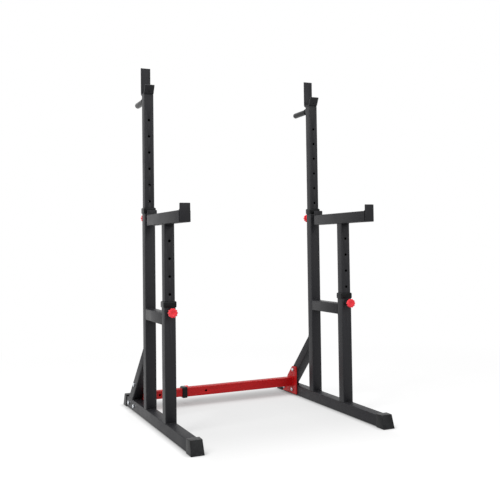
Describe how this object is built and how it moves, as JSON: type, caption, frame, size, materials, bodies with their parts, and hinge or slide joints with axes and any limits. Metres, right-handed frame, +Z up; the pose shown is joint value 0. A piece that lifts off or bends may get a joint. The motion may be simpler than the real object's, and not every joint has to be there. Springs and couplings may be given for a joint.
{
  "type": "squat stand",
  "caption": "Free-standing squat stand with height-adjustable bar cradles and dip arms, storage pegs and a telescopic crossbar near the floor.",
  "frame": {"origin": "on the floor, midway between the side frames and midway along the feet", "axes": "+X across the stand from the left frame to the right frame, +Y from the arms' open ends to the braces at the rear, +Z up"},
  "size_m": [0.9294, 1.164, 1.6683],
  "materials": {
    "black_powder_coat": "satin black powder coat on steel, finely textured",
    "red_powder_coat": "satin red powder coat on steel",
    "black_plastic": "matt moulded black plastic",
    "red_plastic": "semi-matt moulded red plastic",
    "black_rubber": "matt moulded black rubber",
    "zinc_plate": "bright zinc-plated steel"
  },
  "bodies": {
    "left_frame": {"left_foot_tube": "black_powder_coat", "left_front_foot_cap": "black_rubber", "left_rear_foot_cap": "black_rubber", "left_rear_sleeve": "black_powder_coat", "left_front_sleeve": "black_powder_coat", "left_tie_tube": "black_powder_coat", "left_brace": "black_powder_coat", "left_rear_collar": "black_plastic", "left_front_collar": "black_plastic", "left_gusset_plate": "red_powder_coat", "left_front_foot_bolt": "zinc_plate", "left_rear_foot_bolt": "zinc_plate", "left_brace_bolt": "zinc_plate", "left_front_foot_nut": "zinc_plate", "left_rear_foot_nut": "zinc_plate", "left_brace_nut": "zinc_plate", "crossbar_inner_tube": "red_powder_coat"},
    "right_frame": {"right_foot_tube": "black_powder_coat", "right_front_foot_cap": "black_rubber", "right_rear_foot_cap": "black_rubber", "right_rear_sleeve": "black_powder_coat", "right_front_sleeve": "black_powder_coat", "right_tie_tube": "black_powder_coat", "right_brace": "black_powder_coat", "right_rear_collar": "black_plastic", "right_front_collar": "black_plastic", "right_gusset_plate": "red_powder_coat", "right_front_foot_bolt": "zinc_plate", "right_rear_foot_bolt": "zinc_plate", "right_brace_bolt": "zinc_plate", "right_front_foot_nut": "zinc_plate", "right_rear_foot_nut": "zinc_plate", "right_brace_nut": "zinc_plate", "crossbar_outer_tube": "red_powder_coat", "crossbar_collar": "black_plastic"},
    "left_cradle_post": {"left_rear_post": "black_powder_coat", "left_bar_cradle": "black_powder_coat", "left_storage_peg": "black_plastic"},
    "right_cradle_post": {"right_rear_post": "black_powder_coat", "right_bar_cradle": "black_powder_coat", "right_storage_peg": "black_plastic"},
    "left_arm_post": {"left_front_post": "black_powder_coat", "left_dip_arm": "black_powder_coat", "left_arm_front_plate": "black_powder_coat", "left_arm_rear_plate": "black_powder_coat"},
    "right_arm_post": {"right_front_post": "black_powder_coat", "right_dip_arm": "black_powder_coat", "right_arm_front_plate": "black_powder_coat", "right_arm_rear_plate": "black_powder_coat"},
    "left_rear_lock": {"left_rear_pin": "zinc_plate", "left_rear_knob": "red_plastic"},
    "left_front_lock": {"left_front_pin": "zinc_plate", "left_front_knob": "red_plastic"},
    "right_rear_lock": {"right_rear_pin": "zinc_plate", "right_rear_knob": "red_plastic"},
    "right_front_lock": {"right_front_pin": "zinc_plate", "right_front_knob": "red_plastic"},
    "crossbar_lock": {"crossbar_pin": "zinc_plate", "crossbar_knob": "red_plastic"}
  },
  "joints": [
    {"name": "frame_width", "type": "slide", "parent": "left_frame", "child": "right_frame", "axis": [1, 0, 0], "range_m": [-0.16, 0.16]},
    {"name": "left_cradle_height", "type": "slide", "parent": "left_frame", "child": "left_cradle_post", "axis": [0, 0, 1], "range_m": [-0.462, 0.077]},
    {"name": "right_cradle_height", "type": "slide", "parent": "right_frame", "child": "right_cradle_post", "axis": [0, 0, 1], "range_m": [-0.462, 0.077]},
    {"name": "left_arm_height", "type": "slide", "parent": "left_frame", "child": "left_arm_post", "axis": [0, 0, 1], "range_m": [-0.308, 0.077]},
    {"name": "right_arm_height", "type": "slide", "parent": "right_frame", "child": "right_arm_post", "axis": [0, 0, 1], "range_m": [-0.308, 0.077]},
    {"name": "left_rear_lock", "type": "slide", "parent": "left_frame", "child": "left_rear_lock", "axis": [0, -1, 0], "range_m": [0, 0.014]},
    {"name": "left_front_lock", "type": "slide", "parent": "left_frame", "child": "left_front_lock", "axis": [0, 1, 0], "range_m": [0, 0.014]},
    {"name": "right_rear_lock", "type": "slide", "parent": "right_frame", "child": "right_rear_lock", "axis": [0, -1, 0], "range_m": [0, 0.014]},
    {"name": "right_front_lock", "type": "slide", "parent": "right_frame", "child": "right_front_lock", "axis": [0, 1, 0], "range_m": [0, 0.014]},
    {"name": "crossbar_lock", "type": "slide", "parent": "right_frame", "child": "crossbar_lock", "axis": [0, -1, 0], "range_m": [0, 0.014]}
  ]
}
